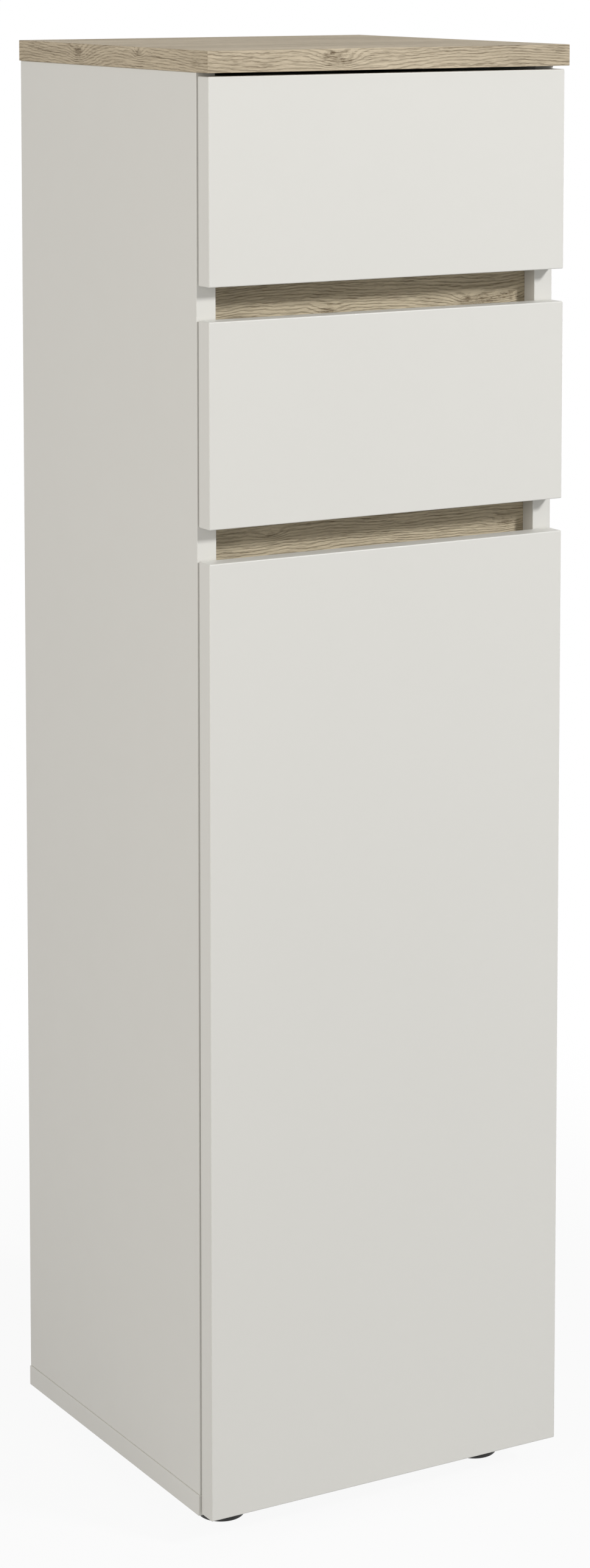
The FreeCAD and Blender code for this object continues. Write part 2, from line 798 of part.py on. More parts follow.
def check_and_write():
    """Stops on any failed object or bad shape, then writes each node's STEP file."""
    doc.recompute()
    failed = [o.Label for o in doc.Objects if {"Invalid", "Error"} & set(o.State)]
    failed += [o.Label for o in nodes if o.Shape.isNull() or not o.Shape.isValid() or not o.Shape.Solids]
    if failed:
        raise RuntimeError(f"these did not build: {failed}")
    os.makedirs("parts", exist_ok=True)
    for piece in nodes:
        piece.Shape.exportStep(f"parts/{piece.Label}.step")
    print(len(nodes), "nodes,", sum(len(piece.Shape.Solids) for piece in nodes), "solids")


def main():
    """Builds the whole cabinet from its two sheets."""
    fill_sheet("Sizes", SIZES)
    fill_sheet("Places", {alias: "=" + named(formula) for alias, formula in PLACES.items()})
    make_top()
    for name, sign in SIDES.items():
        make_side(name, sign)
    make_base()
    make_back()
    make_wall_bracket()
    make_cross_boards()
    make_shelf_supports()
    make_feet()
    for level in LEVELS:
        make_drawer(level)
        make_cabinet_runners(level)
        make_drawer_runners(level)
        make_rollers(level)
    make_door()
    make_hinges()
    check_and_write()


main()
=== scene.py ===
"""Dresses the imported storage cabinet: its boards, oak decor, fittings, floor, light and camera.

The carcass, a drawer and the door are classes that build their pieces. Their finishes are frozen dataclasses,
whose patterns are node groups.
"""

import logging
import math
from collections.abc import Iterable, Sequence
from dataclasses import dataclass, field
from enum import Enum

import bmesh
import bpy
from mathutils import Matrix, Vector


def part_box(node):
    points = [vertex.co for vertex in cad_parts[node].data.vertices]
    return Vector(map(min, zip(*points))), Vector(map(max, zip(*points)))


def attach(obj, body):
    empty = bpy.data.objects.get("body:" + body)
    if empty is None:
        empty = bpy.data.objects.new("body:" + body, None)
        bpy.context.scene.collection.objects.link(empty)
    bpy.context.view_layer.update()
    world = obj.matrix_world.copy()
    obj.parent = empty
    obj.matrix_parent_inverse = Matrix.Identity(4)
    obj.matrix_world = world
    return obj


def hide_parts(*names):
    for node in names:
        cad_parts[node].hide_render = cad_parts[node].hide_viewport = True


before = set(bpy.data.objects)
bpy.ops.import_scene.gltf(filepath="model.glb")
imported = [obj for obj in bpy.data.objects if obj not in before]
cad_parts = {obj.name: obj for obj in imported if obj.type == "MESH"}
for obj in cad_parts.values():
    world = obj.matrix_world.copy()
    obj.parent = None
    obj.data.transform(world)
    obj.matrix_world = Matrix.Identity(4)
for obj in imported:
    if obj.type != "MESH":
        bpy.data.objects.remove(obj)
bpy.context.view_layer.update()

log = logging.getLogger("cabinet")

MM = 0.001
FULL_TURN = 2 * math.pi

# Points closer than this are one point: of a spun profile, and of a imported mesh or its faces' planes.
SEAM = 1e-7
WELD = 1e-6

# The turn between two faces up to which they are one flat face, past which they are part of a curve, and
# past which their edge is rounded.
FLAT_TURN = math.radians(0.5)
CURVED_TURN = math.radians(1)
SHARP_TURN = math.radians(32)

Triple = tuple[float, float, float]
ScreenColour = tuple[int, int, int]
Knots = tuple[tuple[Triple, float], ...]
Inputs = dict[str | int, object]


class Hand(Enum):
    """The left or the right of the cabinet, as the sign of X."""

    LEFT = -1
    RIGHT = 1


class Level(Enum):
    """The lower or the upper drawer."""

    LOWER = "lower"
    UPPER = "upper"


class Grain(Enum):
    """The way that wood grain runs, as the turn about Z that lays it along X."""

    ALONG_X = 0.0
    ALONG_Y = math.pi / 2


class Drive(Enum):
    """The recess in the head of a screw or a cam."""

    CROSS = "cross"
    SLOT = "slot"


# Colours

def paint(red: int, green: int, blue: int) -> tuple[float, float, float, float]:
    """Turns a screen colour into light, as Blender's shaders take it.

    Args:
        red: the red screen value, up to 255.
        green: the green one.
        blue: the blue one.

    Returns:
        The colour with its alpha.
    """
    def linear(value: int) -> float:
        """One screen value as light."""
        share = value / 255
        return share / 12.92 if share <= 0.04045 else ((share + 0.055) / 1.055) ** 2.4

    return (linear(red), linear(green), linear(blue), 1.0)


# Node sheets

class Sheet:
    """A node tree, with short ways to add nodes and to join them."""

    def __init__(self, tree: bpy.types.NodeTree) -> None:
        """Keeps the tree that the nodes go into."""
        self.tree = tree

    def feed(self, node: bpy.types.Node, inputs: Inputs) -> bpy.types.Node:
        """Sets a node's sockets.

        Args:
            node: the node.
            inputs: each socket's name or number, with a value or the socket that feeds it.

        Returns:
            The node.
        """
        for name, value in inputs.items():
            if isinstance(value, bpy.types.NodeSocket):
                self.tree.links.new(value, node.inputs[name])
            else:
                node.inputs[name].default_value = value
        return node

    def add(self, kind: str, inputs: Inputs | None = None, **settings: object) -> bpy.types.Node:
        """Adds one node.

        Args:
            kind: the node's type, without the words that all shader nodes share.
            inputs: its sockets' values, or the sockets that feed them.
            settings: the node's own settings.

        Returns:
            The new node.
        """
        made = self.tree.nodes.new(f"ShaderNode{kind}")
        for name, value in settings.items():
            setattr(made, name, value)
        return self.feed(made, inputs or {})

    def math(self, operation: str, *terms: object) -> bpy.types.NodeSocket:
        """Joins numbers by an operation and returns the result's socket."""
        return self.add("Math", dict(enumerate(terms)), operation=operation).outputs[0]

    def length(self, vector: object) -> bpy.types.NodeSocket:
        """Measures a vector and returns the result's socket."""
        return self.add("VectorMath", {0: vector}, operation="LENGTH").outputs["Value"]

    def shade(self, colour: object, factor: object) -> bpy.types.NodeSocket:
        """Makes a colour darker or lighter by a factor and returns the result's socket."""
        return self.add("VectorMath", {0: colour, "Scale": factor}, operation="SCALE").outputs[0]

    def mix(self, factor: object, first: object, second: object) -> bpy.types.NodeSocket:
        """Mixes two colours and returns the result's socket."""
        made = self.add("Mix", {0: factor, 6: first, 7: second}, data_type="RGBA")
        return made.outputs[2]

    def step(self, value: object, low: float, high: float, start: float = 0.0,
             end: float = 1.0) -> bpy.types.NodeSocket:
        """Takes a value from low to high over to start to end, softly, and returns the socket."""
        inputs = {0: value, 1: low, 2: high, 3: start, 4: end}
        return self.add("MapRange", inputs, interpolation_type="SMOOTHSTEP").outputs[0]

    def place(self, vector: object, scale: Triple = (1, 1, 1), move: Triple = (0, 0, 0),
              turn: float = 0.0) -> bpy.types.NodeSocket:
        """Moves, turns about Z and stretches a pattern's coordinates, and returns the socket."""
        inputs = {"Vector": vector, "Location": move, "Rotation": (0, 0, turn), "Scale": scale}
        return self.add("Mapping", inputs).outputs[0]

    def noise(self, vector: object, scale: object, detail: float = 2.0, roughness: float = 0.5,
              distortion: float = 0.0) -> bpy.types.NodeSocket:
        """Lays a noise pattern and returns the socket of its value between 0 and 1."""
        inputs = {"Vector": vector, "Scale": scale, "Detail": detail, "Roughness": roughness,
                  "Distortion": distortion}
        return self.add("TexNoise", inputs).outputs[0]

    def use(self, group: bpy.types.NodeTree, inputs: Inputs) -> bpy.types.bpy_prop_collection:
        """Places a node group with its own values and returns its outputs."""
        return self.add("Group", inputs, node_tree=group).outputs


# The kinds of the sockets that aren't plain numbers
SOCKETS = {"Vector": "NodeSocketVector", "Centre": "NodeSocketVector", "Colour": "NodeSocketColor",
           "Pale": "NodeSocketColor", "Dark": "NodeSocketColor"}


class Effect:
    """A node group for an effect that more than one material uses."""

    def __init__(self, name: str, inputs: dict[str, object], outputs: Sequence[str]) -> None:
        """Makes the group with its sockets.

        Args:
            name: the group's name.
            inputs: each input's name with its usual value, or None for a vector.
            outputs: the outputs' names.
        """
        self.group = bpy.data.node_groups.new(name, "ShaderNodeTree")
        for label, usual in inputs.items():
            kind = SOCKETS.get(label, "NodeSocketFloat")
            socket = self.group.interface.new_socket(name=label, in_out="INPUT", socket_type=kind)
            if usual is not None:
                socket.default_value = usual
        for label in outputs:
            kind = SOCKETS.get(label, "NodeSocketFloat")
            self.group.interface.new_socket(name=label, in_out="OUTPUT", socket_type=kind)
        self.sheet = Sheet(self.group)
        self.given = self.group.nodes.new("NodeGroupInput").outputs
        self.put_out = self.group.nodes.new("NodeGroupOutput").inputs

    def give(self, **results: bpy.types.NodeSocket) -> bpy.types.NodeTree:
        """Joins the results to the outputs.

        Args:
            results: each output's name, with the socket that feeds it.

        Returns:
            The group.
        """
        for label, socket in results.items():
            self.group.links.new(socket, self.put_out[label])
        return self.group


def make_coat_effect() -> bpy.types.NodeTree:
    """A coated or painted face: its tone drifts a little, and its skin has a fine grit and dull spots.

    Returns:
        The node group.
    """
    effect = Effect("coat", {"Vector": None, "Colour": (0.8, 0.8, 0.8, 1), "Drift": 0.03, "Grit": 900.0,
                             "Sheen": 0.42}, ("Colour", "Roughness", "Height"))
    sheet, given = effect.sheet, effect.given
    # The tone's drift
    cloud = sheet.noise(given["Vector"], 2.6, 3.0, 0.55)
    shade = sheet.math("MULTIPLY_ADD", sheet.math("SUBTRACT", cloud, 0.5), given["Drift"], 1.0)
    toned = sheet.shade(given["Colour"], shade)
    # Dull spots, and a fine grit on slow waves
    spots = sheet.noise(given["Vector"], 34.0, 4.0, 0.62)
    dull = sheet.math("MULTIPLY_ADD", spots, 0.16, sheet.math("SUBTRACT", given["Sheen"], 0.08))
    fine = sheet.noise(given["Vector"], given["Grit"], 3.0)
    wave = sheet.noise(given["Vector"], 55.0)
    height = sheet.math("MULTIPLY_ADD", wave, 1.6, fine)
    return effect.give(Colour=toned, Roughness=dull, Height=height)


def make_knot_effect() -> bpy.types.NodeTree:
    """A small knot in wood: a dark torn heart that is drawn out along the grain, and grain bent around it.

    Returns:
        The node group.
    """
    effect = Effect("knot", {"Vector": None, "Centre": (0, 0, 0), "Reach": 0.008}, ("Heart", "Bend"))
    sheet, given = effect.sheet, effect.given
    # How far off the heart is, with an edge that is torn along the grain
    away = sheet.add("VectorMath", {0: given["Vector"], 1: given["Centre"]}, operation="SUBTRACT").outputs[0]
    far = sheet.length(sheet.place(away, (0.36, 0.6, 1.0)))
    shape = sheet.noise(sheet.place(given["Vector"], (210.0, 210.0, 330.0)), 1.0, 3.0, 0.6)
    shreds = sheet.noise(sheet.place(given["Vector"], (130.0, 1100.0, 1100.0)), 1.0, 2.0, 0.6)
    share = sheet.math("DIVIDE", far, given["Reach"])
    torn = sheet.math("MULTIPLY_ADD", sheet.math("SUBTRACT", shape, 0.5), 2.4, share)
    # A dark patch with thin cracks in and around it
    inside = sheet.step(torn, 0.1, 1.0, 1.0, 0.0)
    patch = sheet.math("MULTIPLY", inside, sheet.step(shreds, 0.3, 0.7, 0.35, 0.8))
    around = sheet.step(torn, 0.0, 1.2, 1.0, 0.0)
    cracks = sheet.math("MULTIPLY", around, sheet.step(shreds, 0.53, 0.60, 0.0, 0.6))
    bend = sheet.step(share, 0.0, 2.6, 1.0, 0.0)
    return effect.give(Heart=sheet.math("ADD", patch, cracks), Bend=bend)


def make_oak_effect() -> bpy.types.NodeTree:
    """Oak decor with its grain along X: wavy year rings, open pores, a soft figure and stray marks.

    Returns:
        The node group.
    """
    effect = Effect("oak", {"Vector": None, "Pale": (0.6, 0.5, 0.36, 1), "Dark": (0.25, 0.19, 0.12, 1),
                            "Heart": 0.0, "Bend": 0.0}, ("Colour", "Roughness", "Height"))
    sheet, given = effect.sheet, effect.given
    along = given["Vector"]
    # The height across the grain, bent by slow waves, by knots and by a ripple
    warp = sheet.noise(sheet.place(along, (5.0, 13.0, 13.0)), 1.0, 2.0, 0.55)
    ripple = sheet.noise(sheet.place(along, (95.0, 240.0, 240.0)), 1.0, 2.0, 0.55)
    parts = sheet.add("SeparateXYZ", {0: along}).outputs
    across = sheet.math("ADD", sheet.math("MULTIPLY", parts[1], 0.72), parts[2])
    bent = sheet.math("MULTIPLY_ADD", warp, 0.036, across)
    bent = sheet.math("MULTIPLY_ADD", given["Bend"], 0.0045, bent)
    bent = sheet.math("MULTIPLY_ADD", ripple, 0.0028, bent)
    # Year rings and the bands that they stand in, streaks along the grain, and open pores
    ring_gap, band_gap = 2.6 * MM, 13.7 * MM
    rings = sheet.math("SINE", sheet.math("MULTIPLY", bent, FULL_TURN / ring_gap))
    bands = sheet.math("SINE", sheet.math("MULTIPLY", bent, FULL_TURN / band_gap))
    streaks = sheet.noise(sheet.place(along, (26.0, 1150.0, 1150.0)), 1.0, 3.0, 0.6)
    pores = sheet.noise(sheet.place(along, (70.0, 1700.0, 1700.0)), 1.0, 2.0, 0.6)
    late = sheet.step(rings, -0.1, 0.95)
    broken = sheet.math("MULTIPLY", late, sheet.step(streaks, 0.32, 0.66, 0.3, 1.0))
    pore = sheet.math("MULTIPLY", sheet.step(pores, 0.54, 0.66), sheet.step(bands, -0.9, 0.9, 0.5, 1.0))
    cloud = sheet.noise(sheet.place(along, (3.0, 22.0, 22.0)), 1.0, 3.0, 0.6)
    # Each of them darkens the wood, and the rings and pores are pressed in
    dark = sheet.math("MULTIPLY_ADD", broken, 0.34, sheet.math("MULTIPLY", pore, 0.40))
    dark = sheet.math("MULTIPLY_ADD", sheet.step(cloud, 0.3, 0.75), 0.24, dark)
    dark = sheet.math("MULTIPLY_ADD", sheet.step(streaks, 0.3, 0.7), 0.14, dark)
    dark = sheet.math("MULTIPLY_ADD", given["Heart"], 0.55, dark)
    dark = sheet.add("Clamp", {0: dark}).outputs[0]
    colour = sheet.mix(dark, given["Pale"], given["Dark"])
    dull = sheet.math("MULTIPLY_ADD", dark, 0.16, 0.50)
    lift = sheet.math("MULTIPLY_ADD", broken, -1.0, sheet.math("MULTIPLY", pore, -0.4))
    lift = sheet.math("MULTIPLY_ADD", streaks, 0.3, lift)
    lift = sheet.math("MULTIPLY_ADD", given["Heart"], -0.8, lift)
    return effect.give(Colour=colour, Roughness=dull, Height=lift)


def make_metal_effect() -> bpy.types.NodeTree:
    """Plated steel: a mottled bloom over it, with fine drawn lines and duller spots.

    Returns:
        The node group.
    """
    effect = Effect("metal", {"Vector": None, "Colour": (0.7, 0.7, 0.7, 1), "Bloom": 0.12, "Sheen": 0.3},
                    ("Colour", "Roughness", "Height"))
    sheet, given = effect.sheet, effect.given
    # The bloom: small plates of zinc under a cloud
    spangle = sheet.add("TexVoronoi", {"Vector": given["Vector"], "Scale": 260.0}, feature="F1")
    tone = sheet.add("SeparateColor", {0: spangle.outputs["Color"]}).outputs[0]
    cloud = sheet.noise(given["Vector"], 90.0, 4.0, 0.6)
    both = sheet.math("ADD", sheet.math("MULTIPLY", tone, 0.5), cloud)
    shade = sheet.math("MULTIPLY_ADD", sheet.math("SUBTRACT", both, 0.75), given["Bloom"], 1.0)
    toned = sheet.shade(given["Colour"], shade)
    # Fine lines, drawn along Z
    drawn = sheet.noise(sheet.place(given["Vector"], (900.0, 900.0, 60.0)), 1.0, 2.0)
    dull = sheet.math("MULTIPLY_ADD", cloud, 0.22, sheet.math("SUBTRACT", given["Sheen"], 0.11))
    return effect.give(Colour=toned, Roughness=dull, Height=sheet.math("MULTIPLY_ADD", drawn, 0.5, cloud))


@dataclass
class Effects:
    """The node groups, built once."""

    coat: bpy.types.NodeTree = field(default_factory=make_coat_effect)
    knot: bpy.types.NodeTree = field(default_factory=make_knot_effect)
    oak: bpy.types.NodeTree = field(default_factory=make_oak_effect)
    metal: bpy.types.NodeTree = field(default_factory=make_metal_effect)


EFFECTS = Effects()


# Finishes

@dataclass(frozen=True)
class Finish:
    """What every finish holds: its name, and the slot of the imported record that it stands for."""

    name: str
    slot: str

    def material(self) -> bpy.types.Material:
        """Makes the finish's material when it is first asked for.

        Returns:
            The material.
        """
        made = bpy.data.materials.get(self.name)
        if made is None:
            made = bpy.data.materials.new(self.name)
            made.use_nodes = True
            sheet = Sheet(made.node_tree)
            shader = made.node_tree.nodes["Principled BSDF"]
            self.lay(sheet, shader, sheet.add("TexCoord").outputs["Object"])
        return made

    def lay(self, sheet: Sheet, shader: bpy.types.Node, vector: bpy.types.NodeSocket) -> None:
        """Joins the finish's pattern to the shader; each kind of finish has its own."""
        raise NotImplementedError

    @staticmethod
    def emboss(sheet: Sheet, shader: bpy.types.Node, height: bpy.types.NodeSocket, depth: float) -> None:
        """Raises a pattern on the shader's face by a depth in metres."""
        bump = sheet.add("Bump", {"Height": height, "Distance": depth, "Strength": 1.0})
        sheet.tree.links.new(bump.outputs[0], shader.inputs["Normal"])

    @staticmethod
    def wire(sheet: Sheet, shader: bpy.types.Node, **sockets: bpy.types.NodeSocket) -> None:
        """Joins sockets to the shader's inputs, whose names have spaces where these have underscores."""
        for name, socket in sockets.items():
            sheet.tree.links.new(socket, shader.inputs[name.replace("_", " ")])


@dataclass(frozen=True)
class Coat(Finish):
    """A smooth coated, painted or moulded face."""

    colour: ScreenColour = (222, 221, 216)
    drift: float = 0.03
    grit: float = 900.0
    sheen: float = 0.42
    depth: float = 0.00002
    coat: float = 0.0

    def lay(self, sheet: Sheet, shader: bpy.types.Node, vector: bpy.types.NodeSocket) -> None:
        """Lays the coat with its own colour, grit and sheen.

        Args:
            sheet: the material's node tree.
            shader: its main shader.
            vector: the coordinates that the pattern is laid on.
        """
        skin = sheet.use(EFFECTS.coat, {"Vector": vector, "Colour": paint(*self.colour), "Drift": self.drift,
                                        "Grit": self.grit, "Sheen": self.sheen})
        self.wire(sheet, shader, Base_Color=skin["Colour"], Roughness=skin["Roughness"])
        self.emboss(sheet, shader, skin["Height"], self.depth)
        shader.inputs["Coat Weight"].default_value = self.coat


@dataclass(frozen=True)
class ThinBoard(Coat):
    """Thin board with a coated face, and bare pressed fibre on the face that is turned away."""

    fibre: ScreenColour = (160, 132, 100)
    fibre_slope: float = 0.7

    def lay(self, sheet: Sheet, shader: bpy.types.Node, vector: bpy.types.NodeSocket) -> None:
        """Lays the coat, and the fibre where the board's own face looks back or down.

        Args:
            sheet: the material's node tree.
            shader: its main shader.
            vector: the coordinates that the pattern is laid on.
        """
        super().lay(sheet, shader, vector)
        normal = sheet.add("SeparateXYZ", {0: sheet.add("TexCoord").outputs["Normal"]}).outputs
        away = sheet.math("MAXIMUM", normal[1], sheet.math("MULTIPLY", normal[2], -1.0))
        bare = sheet.math("GREATER_THAN", away, self.fibre_slope)
        shreds = sheet.noise(vector, 420.0, 5.0, 0.7, 0.6)
        cloud = sheet.noise(vector, 9.0, 3.0, 0.6)
        tone = sheet.math("MULTIPLY_ADD", shreds, 0.5, sheet.math("MULTIPLY_ADD", cloud, 0.3, 0.6))
        fibre = sheet.shade(paint(*self.fibre)[:3], tone)
        coated = shader.inputs["Base Color"].links[0].from_socket
        self.wire(sheet, shader, Base_Color=sheet.mix(bare, coated, fibre))


@dataclass(frozen=True)
class Oak(Finish):
    """Pale oak decor, with its grain laid along the board."""

    grain: Grain = Grain.ALONG_X
    shift: Triple = (0.0, 0.0, 0.0)
    knots: Knots = ()
    pale: ScreenColour = (213, 199, 174)
    dark: ScreenColour = (118, 102, 80)
    depth: float = 0.0004
    shine: float = 0.12

    def lay(self, sheet: Sheet, shader: bpy.types.Node, vector: bpy.types.NodeSocket) -> None:
        """Lays the grain with its knots, printed and pressed into the face.

        Args:
            sheet: the material's node tree.
            shader: its main shader.
            vector: the coordinates that the pattern is laid on.
        """
        heart, bend = 0.0, 0.0
        for centre, reach in self.knots:
            knot = sheet.use(EFFECTS.knot, {"Vector": vector, "Centre": centre, "Reach": reach})
            heart = sheet.math("MAXIMUM", knot["Heart"], heart)
            bend = sheet.math("ADD", knot["Bend"], bend)
        laid = sheet.place(sheet.place(vector, turn=self.grain.value), move=self.shift)
        wood = sheet.use(EFFECTS.oak, {"Vector": laid, "Pale": paint(*self.pale), "Dark": paint(*self.dark),
                                       "Heart": heart, "Bend": bend})
        self.wire(sheet, shader, Base_Color=wood["Colour"], Roughness=wood["Roughness"])
        self.emboss(sheet, shader, wood["Height"], self.depth)
        shader.inputs["Specular IOR Level"].default_value = self.shine


@dataclass(frozen=True)
class Steel(Finish):
    """Plated steel of the hinges, screws, cams and pins."""

    colour: ScreenColour = (190, 190, 188)
    sheen: float = 0.32
    bloom: float = 0.14
    depth: float = 0.00001

    def lay(self, sheet: Sheet, shader: bpy.types.Node, vector: bpy.types.NodeSocket) -> None:
        """Lays the plating's bloom and its fine lines.

        Args:
            sheet: the material's node tree.
            shader: its main shader.
            vector: the coordinates that the pattern is laid on.
        """
        skin = sheet.use(EFFECTS.metal, {"Vector": vector, "Colour": paint(*self.colour), "Bloom": self.bloom,
                                         "Sheen": self.sheen})
        self.wire(sheet, shader, Base_Color=skin["Colour"], Roughness=skin["Roughness"])
        self.emboss(sheet, shader, skin["Height"], self.depth)
        shader.inputs["Metallic"].default_value = 1.0


WHITE = Coat("white_coated_board", "white_board")
THIN = ThinBoard("thin_coated_board", "thin_board", drift=0.04)
ZINC = Steel("zinc_plated_steel", "zinc_steel")
CAST = Steel("die_cast_zinc", "zinc_steel", colour=(160, 162, 164), sheen=0.42, bloom=0.3, depth=0.00003)
PAINTED = Coat("painted_runner_steel", "runner_paint", colour=(232, 232, 229), grit=1400.0, sheen=0.36,
               depth=0.000015, coat=0.2)
BLACK = Coat("black_moulded_plastic", "black_plastic", colour=(34, 33, 32), drift=0.3, grit=1700.0, sheen=0.5,
             depth=0.00004)
CHIPS = Coat("bare_particle_board", "white_board", colour=(150, 124, 90), drift=0.6, grit=500.0, sheen=0.75,
             depth=0.0004)
NYLON = Coat("white_moulded_plastic", "white_plastic", colour=(226, 224, 217), grit=1100.0, sheen=0.38,
             depth=0.00001)


# Shaping

def slab(low: Vector, high: Vector) -> bmesh.types.BMesh:
    """Makes a block.

    Args:
        low: its corner with the least X, Y and Z.
        high: the corner across from it.

    Returns:
        The block's mesh.
    """
    bm = bmesh.new()
    bmesh.ops.create_cube(bm, size=1.0)
    bmesh.ops.scale(bm, vec=high - low, verts=bm.verts)
    bmesh.ops.translate(bm, vec=(low + high) / 2, verts=bm.verts)
    return bm


def soften(bm: bmesh.types.BMesh, edges: Iterable[bmesh.types.BMEdge], radius: float, steps: int = 3) -> None:
    """Rounds edges over to a radius.

    Args:
        bm: the mesh.
        edges: the edges to round.
        radius: the rounding's radius in metres.
        steps: the faces across the rounding.
    """
    made = bmesh.ops.bevel(bm, geom=list(edges), offset=radius, offset_type="OFFSET", segments=steps,
                           profile=0.5, affect="EDGES", material=-1, clamp_overlap=True)
    for face in made["faces"]:
        face.smooth = True


def facing(at: Sequence[float], toward: Sequence[float]) -> Matrix:
    """The place of a fitting that is made along Z from the origin, set at a point and turned toward a way."""
    turn = Vector(toward).to_track_quat("Z", "Y").to_matrix().to_4x4()
    return Matrix.Translation(Vector(at)) @ turn


def turned(profile: Sequence[tuple[float, float]], steps: int) -> bmesh.types.BMesh:
    """Spins a profile about Z, and closes its ends.

    Args:
        profile: the radius and height of each point, in metres, from the foot to the head.
        steps: the faces around.

    Returns:
        The closed mesh.
    """
    bm = bmesh.new()
    points = [bm.verts.new((radius, 0, height)) for radius, height in profile]
    edges = [bm.edges.new(pair) for pair in zip(points, points[1:])]
    bmesh.ops.spin(bm, geom=points + edges, cent=(0, 0, 0), axis=(0, 0, 1), angle=FULL_TURN, steps=steps,
                   use_merge=True, use_duplicate=False)
    bmesh.ops.remove_doubles(bm, verts=bm.verts, dist=SEAM)
    ends = [edge for edge in bm.edges if edge.is_boundary]
    if ends:
        bmesh.ops.holes_fill(bm, edges=ends, sides=0)
    bmesh.ops.recalc_face_normals(bm, faces=bm.faces)
    for face in bm.faces:
        face.smooth = len(face.verts) <= 4
    return bm


def stamped(pattern: bmesh.types.BMesh, places: Iterable[Matrix]) -> bmesh.types.BMesh:
    """Copies of one shape at several places.

    Args:
        pattern: the shape, which is used up.
        places: where each copy goes.

    Returns:
        One mesh with all the copies.
    """
    kept = bpy.data.meshes.new("pattern")
    pattern.to_mesh(kept)
    pattern.free()
    bm = bmesh.new()
    for place in places:
        before = len(bm.verts)
        bm.from_mesh(kept)
        bm.verts.ensure_lookup_table()
        bmesh.ops.transform(bm, matrix=place, verts=bm.verts[before:])
    bpy.data.meshes.remove(kept)
    return bm


def ring(bm: bmesh.types.BMesh, place: Matrix, radius: float, steps: int) -> list[bmesh.types.BMEdge]:
    """The edges of a circle laid in a face."""
    made = bmesh.ops.create_circle(bm, cap_ends=False, segments=steps, radius=radius, matrix=place)
    return list(dict.fromkeys(edge for vert in made["verts"] for edge in vert.link_edges))


def recess(bm: bmesh.types.BMesh, place: Matrix, radius: float, drive: Drive,
           arm: float = 0.26) -> list[bmesh.types.BMEdge]:
    """Lays the outline of a screwdriver's recess in a face.

    Args:
        bm: the mesh.
        place: the recess's middle and the way that it looks.
        radius: how far its arms reach.
        drive: its kind.
        arm: half the width of an arm, as a share of the radius.

    Returns:
        The outline's edges.
    """
    wide = radius * arm
    if drive is Drive.CROSS:
        points = [(radius, -wide), (radius, wide), (wide, wide), (wide, radius),
                  (-wide, radius), (-wide, wide), (-radius, wide), (-radius, -wide),
                  (-wide, -wide), (-wide, -radius), (wide, -radius), (wide, -wide)]
    else:
        points = [(radius, -wide), (radius, wide), (-radius, wide), (-radius, -wide)]
    verts = [bm.verts.new(place @ Vector((x, y, 0))) for x, y in points]
    return [bm.edges.new((verts[i - 1], verts[i])) for i in range(len(verts))]


def sink(bm: bmesh.types.BMesh, toward: Sequence[float], outlines: Sequence[list[bmesh.types.BMEdge]],
         depths: Sequence[float], inside: int = 0) -> None:
    """Cuts holes into the flat face that lies furthest along a way.

    Args:
        bm: the mesh, which has the outlines' edges in it already.
        toward: the way that the face looks.
        outlines: each hole's edges, in the face's plane.
        depths: each hole's depth in metres.
        inside: the number of the finish inside the holes.
    """
    straight, most_corners = 0.999, 12
    way = Vector(toward)
    flat = [face for face in bm.faces if face.normal.dot(way) > straight]
    reach = max(face.calc_center_median().dot(way) for face in flat)
    furthest = [face for face in flat if face.calc_center_median().dot(way) > reach - WELD]
    face = max(furthest, key=lambda each: each.calc_area())
    rim = list(face.edges)
    bmesh.ops.delete(bm, geom=[face], context="FACES_ONLY")
    holes = [edge for outline in outlines for edge in outline]
    bmesh.ops.triangle_fill(bm, use_beauty=True, use_dissolve=False, normal=way, edges=rim + holes)
    for outline, depth in zip(outlines, depths):
        made = bmesh.ops.extrude_edge_only(bm, edges=outline)["geom"]
        verts = [item for item in made if isinstance(item, bmesh.types.BMVert)]
        ends = [item for item in made if isinstance(item, bmesh.types.BMEdge)
                and all(vert in verts for vert in item.verts)]
        walls = [item for item in made if isinstance(item, bmesh.types.BMFace)]
        bmesh.ops.translate(bm, vec=-way * depth, verts=verts)
        floors = bmesh.ops.edgeloop_fill(bm, edges=ends)["faces"]
        for item in walls:
            item.smooth = len(outline) > most_corners
        for item in walls + floors:
            item.material_index = inside
    bmesh.ops.recalc_face_normals(bm, faces=bm.faces)


def show(name: str, bm: bmesh.types.BMesh, finishes: Sequence[Finish], body: str,
         nodes: Sequence[str] = ()) -> None:
    """Makes a mesh a piece of the cabinet.

    Args:
        name: the piece's name.
        bm: its mesh, in place, which is used up.
        finishes: its finishes, the first of them its main one.
        body: the body that it rides on.
        nodes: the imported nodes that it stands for.
    """
    mesh = bpy.data.meshes.new(name)
    bm.to_mesh(mesh)
    bm.free()
    for finish in finishes:
        mesh.materials.append(finish.material())
    piece = bpy.data.objects.new(name, mesh)
    bpy.context.scene.collection.objects.link(piece)
    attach(piece, body)
    if nodes:
        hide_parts(*nodes)
    log.info("%s: %d faces on %s", name, len(mesh.polygons), body)


def dress(node: str, finish: Finish) -> None:
    """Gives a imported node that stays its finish.

    Args:
        node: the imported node.
        finish: its finish.
    """
    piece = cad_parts[node]
    for slot in piece.material_slots:
        slot.material = finish.material()
    log.info("%s: dressed in %s", node, finish.name)


